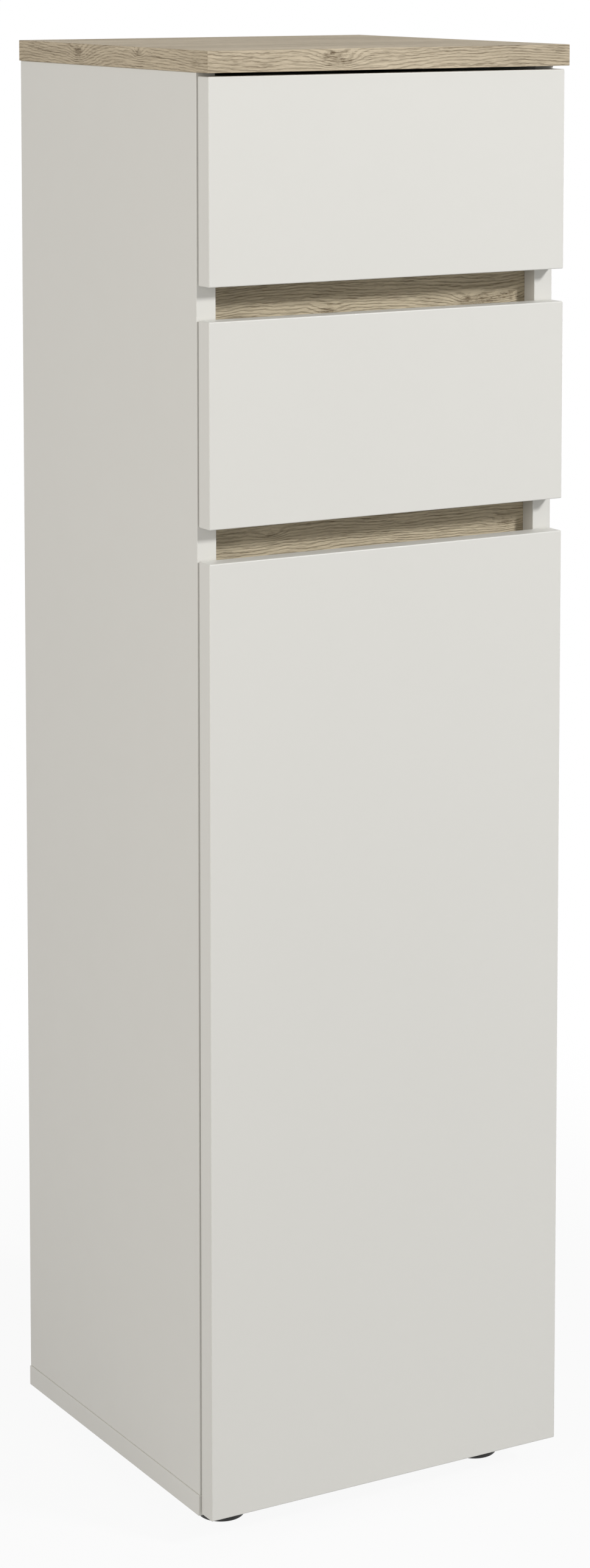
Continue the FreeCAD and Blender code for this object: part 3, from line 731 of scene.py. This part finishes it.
def round_off(node: str, finish: Finish, body: str, radius: float = 0.25 * MM, steps: int = 2) -> None:
    """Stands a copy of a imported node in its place, with its sharp edges rounded.

    Args:
        node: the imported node.
        finish: the copy's finish.
        body: the body that the node rides on.
        radius: the rounding's radius in metres.
        steps: the faces across the rounding.
    """
    bm = bmesh.new()
    bm.from_mesh(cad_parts[node].data)
    bmesh.ops.remove_doubles(bm, verts=bm.verts, dist=WELD)
    bmesh.ops.dissolve_limit(bm, angle_limit=FLAT_TURN, use_dissolve_boundaries=False, verts=bm.verts,
                             edges=bm.edges, delimit=set())
    sharp = []
    for edge in bm.edges:
        turn = edge.calc_face_angle(0.0)
        if turn > SHARP_TURN:
            sharp.append(edge)
        elif turn > CURVED_TURN:
            for face in edge.link_faces:
                face.smooth = True
    for face in bm.faces:
        face.material_index = 0
    soften(bm, sharp, radius, steps)
    show(f"{node}_rounded", bm, [finish], body, [node])


# Small fittings

@dataclass(frozen=True)
class ScrewHead:
    """The domed head of a screw, with a recess for the driver."""

    radius: float = 3.6 * MM
    height: float = 1.6 * MM
    drive: Drive = Drive.CROSS
    sunk: float = 0.7
    steps: int = 24

    def mesh(self) -> bmesh.types.BMesh:
        """Makes the head along Z, standing on the origin.

        Returns:
            The head's mesh.
        """
        r, h = self.radius, self.height
        bm = turned([(r, 0), (r, h * 0.3), (r * 0.93, h * 0.62), (r * 0.78, h * 0.88), (r * 0.62, h)],
                    self.steps)
        outline = recess(bm, Matrix.Translation((0, 0, h)), r * 0.48, self.drive)
        sink(bm, (0, 0, 1), [outline], [h * self.sunk])
        return bm


BRACKET_SCREW = ScrewHead()
BACK_SCREW = ScrewHead(3.2 * MM, 0.8 * MM)
RUNNER_SCREW = ScrewHead(3.4 * MM, 1.3 * MM)
CUP_SCREW = ScrewHead(4.3 * MM, 2.9 * MM, sunk=0.26)
PLATE_SCREW = ScrewHead(4.0 * MM, 1.9 * MM)
FIXING_SCREW = ScrewHead(3.4 * MM, 1.2 * MM)
ADJUSTING_SCREW = ScrewHead(3.4 * MM, 1.2 * MM, Drive.SLOT)


@dataclass(frozen=True)
class Cam:
    """The round cam of a board joint, a little below the face that it is let into."""

    radius: float = 7.4 * MM
    bore_radius: float = 7.6 * MM
    height: float = 1.2 * MM
    below: float = 0.5 * MM
    edge: float = 0.3 * MM
    steps: int = 28

    def mesh(self) -> bmesh.types.BMesh:
        """Makes the cam along Z, with its head below the origin.

        Returns:
            The cam's mesh.
        """
        r, h, top = self.radius, self.height, -self.below
        bm = turned([(r, top - h), (r, top - self.edge), (r - self.edge, top)], self.steps)
        outline = recess(bm, Matrix.Translation((0, 0, top)), r * 0.55, Drive.CROSS)
        sink(bm, (0, 0, 1), [outline], [h * 0.8])
        return bm


CAM = Cam()


@dataclass(frozen=True)
class Bumper:
    """A soft clear-white dome that a front closes against."""

    radius: float = 4.0 * MM
    height: float = 0.9 * MM
    steps: int = 20

    def mesh(self) -> bmesh.types.BMesh:
        """The dome along Z, standing on the origin."""
        r, h = self.radius, self.height
        return turned([(r, 0), (r, h * 0.25), (r * 0.9, h * 0.6), (r * 0.7, h * 0.86), (r * 0.4, h * 0.97),
                       (0, h)], self.steps)


# Boards

@dataclass(frozen=True)
class Hole:
    """A round hole with a flat floor, which opens at a point in the face that looks toward a way."""

    at: Triple
    toward: Triple
    radius: float
    depth: float

    @property
    def steps(self) -> int:
        """The faces around it, fewer in a hole for a pin."""
        return 20 if self.radius < 5 * MM else 36


@dataclass
class Board:
    """A board with softly rounded edges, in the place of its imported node."""

    node: str
    body: str = "carcass"
    finish: Finish = WHITE
    end_finish: Finish | None = None
    radius: float = 0.6 * MM
    steps: int = 3
    end_slope: float = 0.9
    holes: list[Hole] = field(default_factory=list)
    cams: list[Matrix] = field(default_factory=list)

    def drill(self, at: Triple, toward: Triple, radius: float, depth: float) -> None:
        """Notes a hole that opens at a point, in the face that looks toward a way."""
        self.holes.append(Hole(at, toward, radius, depth))

    def let_in(self, at: Triple, toward: Triple, depth: float) -> None:
        """Notes a cam and its bore, which opens at a point in the face that looks toward a way."""
        self.drill(at, toward, CAM.bore_radius, depth)
        self.cams.append(facing(at, toward))

    def build(self) -> None:
        """Makes the board with its holes, and its cams."""
        low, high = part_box(self.node)
        bm = slab(low, high)
        soften(bm, bm.edges, self.radius, self.steps)
        for toward in sorted({hole.toward for hole in self.holes}):
            group = [hole for hole in self.holes if hole.toward == toward]
            outlines = [ring(bm, facing(hole.at, toward), hole.radius, hole.steps) for hole in group]
            sink(bm, toward, outlines, [hole.depth for hole in group], inside=1)
        finishes = [self.finish, CHIPS] if self.holes else [self.finish]
        if self.end_finish:
            finishes.append(self.end_finish)
            for face in bm.faces:
                if abs(face.normal.x) > self.end_slope:
                    face.material_index = len(finishes) - 1
        show(f"{self.node}_board", bm, finishes, self.body, [self.node])
        if self.cams:
            show(f"{self.node}_cams", stamped(CAM.mesh(), self.cams), [CAST], self.body)


@dataclass
class Carcass:
    """The top, sides, base, back, shelves, rails and feet, with their joint fittings."""

    pin_pitch: float = 32.0 * MM
    pin_radius: float = 2.5 * MM
    pin_depth: float = 11.0 * MM
    pins_below: int = 5
    pins_above: int = 14
    pin_rows: tuple[float, float] = (-113.5 * MM, 123.0 * MM)
    cam_in: float = 34.0 * MM
    cam_depth: float = 12.0 * MM
    cam_rows: tuple[float, float] = (-95.0 * MM, 120.0 * MM)
    shelf_cam_in: float = 24.0 * MM
    shelf_cam_rows: tuple[float, float] = (-70.0 * MM, 120.0 * MM)
    bumper_in: float = 12.0 * MM
    door_bumper_up: float = 40.0 * MM
    bracket_screw_out: float = 9.0 * MM
    bracket_screw_back: float = 12.0 * MM
    bracket_steel: float = 2.0 * MM
    foot_steps: int = 64
    # A foot's outline in mm: in from its rim, and up from the floor or down from the base.
    foot_tread: tuple[tuple[float, float], ...] = (
        (1.5, 0), (0.8, 0.2), (0.25, 0.7), (0, 1.5), (0, 4.6), (0.3, 5.3), (1.6, 6.2), (2.2, 7.2), (2.4, 8.6))
    foot_flange: tuple[tuple[float, float], ...] = (
        (2.4, 6), (2.1, 5), (1.2, 4.1), (0.3, 3.6), (0, 3.1), (0, 0.6), (0.3, 0.1), (0.8, 0))
    top_knots: Knots = (
        ((-56 * MM, -173 * MM, 1246 * MM), 6.5 * MM), ((-48 * MM, -173 * MM, 1243 * MM), 4.5 * MM))
    end_shift: Triple = (0.2, 0.4, 0.0)
    end_knots: Knots = (
        ((-175 * MM, 57 * MM, 1246 * MM), 6 * MM), ((-175 * MM, -54 * MM, 1249 * MM), 3.5 * MM))
    # The rails' oak colours are paler than the top's: painted light, which brightens the rails where the
    # fronts shade them.
    rail_pale_with_painted_light: ScreenColour = (222, 209, 182)
    rail_dark_with_painted_light: ScreenColour = (127, 110, 86)
    # Each rail, the shift of its grain, and its knots in mm: across, up from its lower edge, and reach.
    rails: tuple[tuple[str, Triple, tuple[Triple, ...]], ...] = (
        ("upper_grip_rail", (-0.61, 0.23, 0.19),
         ((-40, 16, 4.0), (98, 19, 4.4), (116, 18, 5.6), (136, 19, 4.6))),
        ("lower_grip_rail", (0.37, 0.11, 0.53),
         ((138, 22, 4.6), (-96, 30, 3.0))))

    def build(self) -> None:
        """Builds each board and fitting of the carcass."""
        self.make_top()
        for hand in Hand:
            self.make_side(hand)
        Board("base_panel", radius=0.8 * MM).build()
        self.make_rails()
        self.make_shelves()
        self.make_feet()
        self.make_bumpers()
        self.make_bracket_screws()
        dress("back_panel", THIN)
        round_off("wall_bracket", ZINC, "carcass")
        round_off("shelf_supports", ZINC, "carcass", radius=0.4 * MM, steps=3)

    def make_top(self) -> None:
        """The oak top, whose ends show grain along their own length."""
        top = Oak("oak_decor_top", "oak_board", knots=self.top_knots)
        ends = Oak("oak_decor_top_ends", "oak_board", Grain.ALONG_Y, self.end_shift, self.end_knots)
        Board("top_panel", finish=top, end_finish=ends, radius=0.5 * MM).build()

    def make_side(self, hand: Hand) -> None:
        """Makes a side with its rows of pin holes and its cams.

        Args:
            hand: the side of the cabinet.
        """
        name = f"{hand.name.lower()}_side"
        low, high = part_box(name)
        inner = high.x if hand is Hand.LEFT else low.x
        toward = (float(-hand.value), 0.0, 0.0)
        board = Board(name)
        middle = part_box("shelf_supports")[0].z + self.pin_radius
        for row in self.pin_rows:
            for count in range(-self.pins_below, self.pins_above + 1):
                at = (inner, row, middle + count * self.pin_pitch)
                board.drill(at, toward, self.pin_radius, self.pin_depth)
        for row in self.cam_rows:
            for up in (low.z + self.cam_in, high.z - self.cam_in):
                board.let_in((inner, row, up), toward, self.cam_depth)
        board.build()

    def make_rails(self) -> None:
        """The oak grip rails behind the finger gaps, in oak colours paler than the top's as painted light."""
        for node, shift, marks in self.rails:
            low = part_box(node)[0]
            knots = tuple(((x * MM, low.y, low.z + up * MM), reach * MM) for x, up, reach in marks)
            # The paler rail colours are painted light on the rails that the fronts shade.
            finish = Oak(f"oak_decor_{node}", "oak_board", shift=shift, knots=knots, pale=self.rail_pale_with_painted_light,
                         dark=self.rail_dark_with_painted_light)
            Board(node, finish=finish, radius=0.4 * MM).build()

    def make_shelves(self) -> None:
        """The fixed shelf with its cams, and the two loose shelves."""
        shelf = Board("fixed_shelf")
        low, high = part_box("fixed_shelf")
        for across in (low.x + self.shelf_cam_in, high.x - self.shelf_cam_in):
            for row in self.shelf_cam_rows:
                shelf.let_in((across, row, low.z), (0.0, 0.0, -1.0), self.cam_depth)
        shelf.build()
        for node in ("lower_shelf", "upper_shelf"):
            Board(node, radius=0.8 * MM).build()

    def make_feet(self) -> None:
        """The black feet: a flange under the base, a waist, and a rounded tread."""
        for node in sorted(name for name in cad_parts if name.startswith("foot_")):
            low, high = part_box(node)
            middle = (low + high) / 2
            radius, height = high.x - middle.x, high.z - low.z
            profile = [(0, 0), *((radius - inward * MM, up * MM) for inward, up in self.foot_tread),
                       *((radius - inward * MM, height - down * MM) for inward, down in self.foot_flange),
                       (0, height)]
            bm = turned(profile, self.foot_steps)
            bmesh.ops.translate(bm, vec=(middle.x, middle.y, low.z), verts=bm.verts)
            show(f"{node}_turned", bm, [BLACK], "carcass", [node])

    def make_bumpers(self) -> None:
        """The soft domes on the sides' front edges, where the fronts close."""
        places = []
        for hand in Hand:
            low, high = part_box(f"{hand.name.lower()}_side")
            fronts = [(f"{level.value}_drawer_front", self.bumper_in) for level in Level]
            if hand is Hand.LEFT:
                fronts.append(("door_panel", self.door_bumper_up))
            for front, up in fronts:
                front_low, front_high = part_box(front)
                places += [facing(((low.x + high.x) / 2, low.y, z), (0, -1, 0))
                           for z in (front_low.z + up, front_high.z - self.bumper_in)]
        show("front_bumpers", stamped(Bumper().mesh(), places), [NYLON], "carcass")

    def make_bracket_screws(self) -> None:
        """The two screws that hold the wall bracket up under the top."""
        low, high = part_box("wall_bracket")
        places = [facing((x, low.y + self.bracket_screw_back, high.z - self.bracket_steel), (0, 0, -1))
                  for x in (-self.bracket_screw_out, self.bracket_screw_out)]
        show("wall_bracket_screws", stamped(BRACKET_SCREW.mesh(), places), [ZINC], "carcass")


@dataclass
class Drawer:
    """One drawer, with its box, front, runners, rollers and screws."""

    level: Level
    front_radius: float = 0.9 * MM
    side_radius: float = 1.0 * MM
    cam_back: float = 24.0 * MM
    cam_up: float = 40.0 * MM
    cam_down: float = 24.0 * MM
    cam_depth: float = 9.0 * MM
    back_screw_in: float = 20.0 * MM
    runner_steel: float = 1.2 * MM
    runner_screw_down: float = 6.5 * MM
    screw_rows: tuple[float, float, float] = (-105.0 * MM, 35.0 * MM, 138.0 * MM)

    @property
    def body(self) -> str:
        """The body that the drawer rides on."""
        return f"{self.level.value}_drawer"

    def build(self) -> None:
        """Builds the drawer on its body, and its fittings on the carcass."""
        Board(f"{self.body}_front", self.body, radius=self.front_radius, steps=4).build()
        for hand in Hand:
            self.make_side(hand)
        Board(f"{self.body}_back", self.body).build()
        dress(f"{self.body}_bottom", THIN)
        round_off(f"{self.body}_runners", PAINTED, self.body)
        round_off(f"{self.level.value}_cabinet_runners", PAINTED, "carcass")
        for end in ("front", "rear"):
            name = f"{self.level.value}_{end}_rollers"
            round_off(name, NYLON, name, radius=0.6 * MM, steps=3)
        self.make_runner_screws()

    def make_side(self, hand: Hand) -> None:
        """Makes a side of the box, with its cams and the screws into the back.

        Args:
            hand: the side of the box.
        """
        name = f"{self.body}_{hand.name.lower()}_side"
        low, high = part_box(name)
        outer = low.x if hand is Hand.LEFT else high.x
        toward = (float(hand.value), 0.0, 0.0)
        board = Board(name, self.body, radius=self.side_radius)
        for up in (low.z + self.cam_up, high.z - self.cam_down):
            board.let_in((outer, low.y + self.cam_back, up), toward, self.cam_depth)
        board.build()
        back_low, back_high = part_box(f"{self.body}_back")
        places = [facing((outer, (back_low.y + back_high.y) / 2, z), toward)
                  for z in (back_low.z + self.back_screw_in, back_high.z - self.back_screw_in)]
        show(f"{name}_screws", stamped(BACK_SCREW.mesh(), places), [ZINC], self.body)

    def make_runner_screws(self) -> None:
        """The screws through the runners, into the sides of the cabinet and up into the drawer."""
        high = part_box(f"{self.level.value}_cabinet_runners")[1]
        inner, row = high.x - self.runner_steel, high.z - self.runner_screw_down
        places = [facing((hand.value * inner, y, row), (-hand.value, 0, 0)) for hand in Hand
                  for y in self.screw_rows]
        show(f"{self.level.value}_runner_screws", stamped(RUNNER_SCREW.mesh(), places), [ZINC], "carcass")
        side_low, side_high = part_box(f"{self.body}_right_side")
        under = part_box(f"{self.body}_runners")[0].z
        middle = (side_low.x + side_high.x) / 2
        places = [facing((hand.value * middle, y, under), (0, 0, -1)) for hand in Hand
                  for y in self.screw_rows[:2]]
        show(f"{self.body}_runner_screws", stamped(RUNNER_SCREW.mesh(), places), [ZINC], self.body)


@dataclass
class Door:
    """The door with its two concealed hinges."""

    cup_in: float = 22.0 * MM
    cup_radius: float = 17.6 * MM
    cup_depth: float = 12.5 * MM
    hinge_middles: tuple[float, float] = (126.0 * MM, 736.0 * MM)
    # The rim of a cup in mm: its inner and outer radius, and its steel.
    rim_inner: float = 16.6
    rim_outer: float = 19.3
    rim_steel: float = 0.6
    rim_steps: int = 56
    cup_screw_in: float = 9.5 * MM
    cup_screw_up: float = 22.5 * MM
    flange_steel: float = 1.0 * MM
    plate_face: float = 152.5 * MM
    plate_screw_up: float = 16.0 * MM
    arm_screws: tuple[float, float] = (-101.5 * MM, -123.0 * MM)

    def build(self) -> None:
        """Builds the door and dresses its hinges."""
        self.make_panel()
        self.make_cup_fittings()
        self.make_arm_fittings()
        for node, body in (("hinge_cups", "door"), ("hinge_arms", "carcass"), ("outer_links", "outer_links"),
                           ("inner_links", "inner_links")):
            round_off(node, ZINC, body, radius=0.2 * MM)
        round_off("hinge_plates", CAST, "carcass", radius=0.5 * MM, steps=3)

    def make_panel(self) -> None:
        """The door's board, bored for the cups."""
        door = Board("door_panel", "door", radius=0.9 * MM, steps=4)
        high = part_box("door_panel")[1]
        for z in self.hinge_middles:
            door.drill((high.x - self.cup_in, high.y, z), (0.0, 1.0, 0.0), self.cup_radius, self.cup_depth)
        door.build()

    def make_cup_fittings(self) -> None:
        """The thin rim around each cup, and the screws through its flange."""
        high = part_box("door_panel")[1]
        middle = high.x - self.cup_in
        out = (0.0, 1.0, 0.0)
        inner, outer, thick = self.rim_inner, self.rim_outer, self.rim_steel
        profile = [(inner, -0.5), (outer - 0.2, -0.5), (outer - 0.2, 0.1), (outer - 0.45, thick * 0.8),
                   (outer - 0.9, thick), (inner + 0.5, thick), (inner + 0.1, thick * 0.6), (inner, -0.5)]
        rim = turned([(radius * MM, height * MM) for radius, height in profile], self.rim_steps)
        places = [facing((middle, high.y, z), out) for z in self.hinge_middles]
        show("hinge_cup_rims", stamped(rim, places), [ZINC], "door")
        x, y = middle - self.cup_screw_in, high.y + self.flange_steel
        places = [facing((x, y, z + step * self.cup_screw_up), out) for z in self.hinge_middles
                  for step in (-1, 1)]
        show("hinge_cup_screws", stamped(CUP_SCREW.mesh(), places), [ZINC], "door")

    def make_arm_fittings(self) -> None:
        """The screws through each plate, and the fixing and the adjusting screw of each arm."""
        plates_low, plates_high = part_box("hinge_plates")
        inward = (-1.0, 0.0, 0.0)
        middle = (plates_low.y + plates_high.y) / 2
        places = [facing((self.plate_face, middle, z + step * self.plate_screw_up), inward)
                  for z in self.hinge_middles for step in (-1, 1)]
        show("hinge_plate_screws", stamped(PLATE_SCREW.mesh(), places), [ZINC], "carcass")
        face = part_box("hinge_arms")[0].x
        for name, head, y in zip(("fixing", "adjusting"), (FIXING_SCREW, ADJUSTING_SCREW), self.arm_screws):
            places = [facing((face, y, z), inward) for z in self.hinge_middles]
            show(f"hinge_{name}_screws", stamped(head.mesh(), places), [ZINC], "carcass")


# Studio

@dataclass
class Lamp:
    """A soft square lamp, aimed at a point."""

    name: str
    at: Triple
    aim: Triple
    size: float
    power: float
    colour: Triple = (1.0, 1.0, 1.0)

    def build(self) -> None:
        """Hangs the lamp."""
        light = bpy.data.lights.new(self.name, "AREA")
        light.size = self.size
        light.energy = self.power
        light.color = self.colour
        lamp = bpy.data.objects.new(self.name, light)
        lamp.location = self.at
        lamp.rotation_euler = (Vector(self.aim) - Vector(self.at)).to_track_quat("-Z", "Y").to_euler()
        bpy.context.scene.collection.objects.link(lamp)


@dataclass
class Studio:
    """The floor, the white surround, the lamps and the camera."""

    ambient: float = 0.295
    floor_reach: float = 30.0
    floor_tone: float = 0.56
    floor_roughness: float = 0.9
    floor_glow: float = 0.93
    glow_reach: tuple[float, float] = (0.4, 1.3)
    camera_at: Triple = (-1.570, -2.722, 1.344)
    camera_turn: Triple = (90 - 5.94, 0.0, -30.07)
    lens: float = 83.25
    sensor: float = 36.0
    shift: float = -0.30
    # The front lamp shades the rails and the sides' front edges; the others light the left side and the top.
    lamps: tuple[Lamp, ...] = (
        Lamp("front_lamp", (2.2, -3.7, 3.18), (0, 0, 0.7), 0.7, 146),
        Lamp("left_lamp", (-2.9, -1.0, 1.65), (0, 0, 0.6), 1.5, 42, (1.0, 0.96, 0.90)),
        Lamp("top_lamp", (0.0, 0.1, 4.0), (0, 0.1, 0), 1.2, 3),
    )

    def build(self) -> None:
        """Builds all of it."""
        self.make_world()
        self.make_floor()
        for lamp in self.lamps:
            lamp.build()
        self.make_camera()
        bpy.context.scene.view_settings.view_transform = "Standard"

    @staticmethod
    def plain_rays(sheet: Sheet) -> bpy.types.NodeSocket:
        """Finds the rays that see the surround as plain white: those of the camera, a mirror or a glass.

        Args:
            sheet: the node tree that asks.

        Returns:
            The socket, which is 1 for such a ray and 0 for another.
        """
        path = sheet.add("LightPath").outputs
        seen = sheet.math("MAXIMUM", path["Is Camera Ray"], path["Is Glossy Ray"])
        return sheet.math("MAXIMUM", seen, path["Is Transmission Ray"])

    def make_world(self) -> None:
        """A plain white surround, which lights the cabinet a little from all sides."""
        world = bpy.data.worlds.new("surround")
        bpy.context.scene.world = world
        world.use_nodes = True
        sheet = Sheet(world.node_tree)
        level = sheet.add("MapRange", {0: self.plain_rays(sheet), 3: self.ambient, 4: 1.0}).outputs[0]
        back = world.node_tree.nodes["Background"]
        back.inputs["Color"].default_value = (1, 1, 1, 1)
        world.node_tree.links.new(level, back.inputs["Strength"])

    def make_floor(self) -> None:
        """A plain pale floor, which fades into the surround away from the cabinet."""
        bm = bmesh.new()
        bmesh.ops.create_grid(bm, x_segments=1, y_segments=1, size=self.floor_reach)
        mesh = bpy.data.meshes.new("floor")
        bm.to_mesh(mesh)
        bm.free()
        floor = bpy.data.objects.new("floor", mesh)
        bpy.context.scene.collection.objects.link(floor)
        made = bpy.data.materials.new("pale_floor")
        made.use_nodes = True
        mesh.materials.append(made)
        sheet = Sheet(made.node_tree)
        shader = made.node_tree.nodes["Principled BSDF"]
        tone = self.floor_tone
        shader.inputs["Base Color"].default_value = (tone, tone, tone, 1)
        shader.inputs["Roughness"].default_value = self.floor_roughness
        shader.inputs["Specular IOR Level"].default_value = 0.0
        far = sheet.length(sheet.add("TexCoord").outputs["Object"])
        fade = sheet.step(far, *self.glow_reach, self.floor_glow, 1.0)
        white = sheet.add("Emission", {"Color": (1, 1, 1, 1), "Strength": 1.0}).outputs[0]
        glow = sheet.math("MULTIPLY", self.plain_rays(sheet), fade)
        both = sheet.add("MixShader", {0: glow, 1: shader.outputs[0], 2: white}).outputs[0]
        made.node_tree.links.new(both, made.node_tree.nodes["Material Output"].inputs["Surface"])

    def make_camera(self) -> None:
        """The camera at the picture's angle, with its lens shifted to set the cabinet in the frame."""
        data = bpy.data.cameras.new("picture_camera")
        data.lens = self.lens
        data.sensor_width = self.sensor
        data.shift_y = self.shift
        camera = bpy.data.objects.new("picture_camera", data)
        camera.location = self.camera_at
        camera.rotation_euler = tuple(math.radians(angle) for angle in self.camera_turn)
        bpy.context.scene.collection.objects.link(camera)
        bpy.context.scene.camera = camera


def main() -> None:
    """Builds the cabinet's pieces and its studio."""
    logging.basicConfig(level=logging.INFO, format="%(message)s")
    Carcass().build()
    for level in Level:
        Drawer(level).build()
    Door().build()
    Studio().build()


if __name__ == "__main__":
    main()
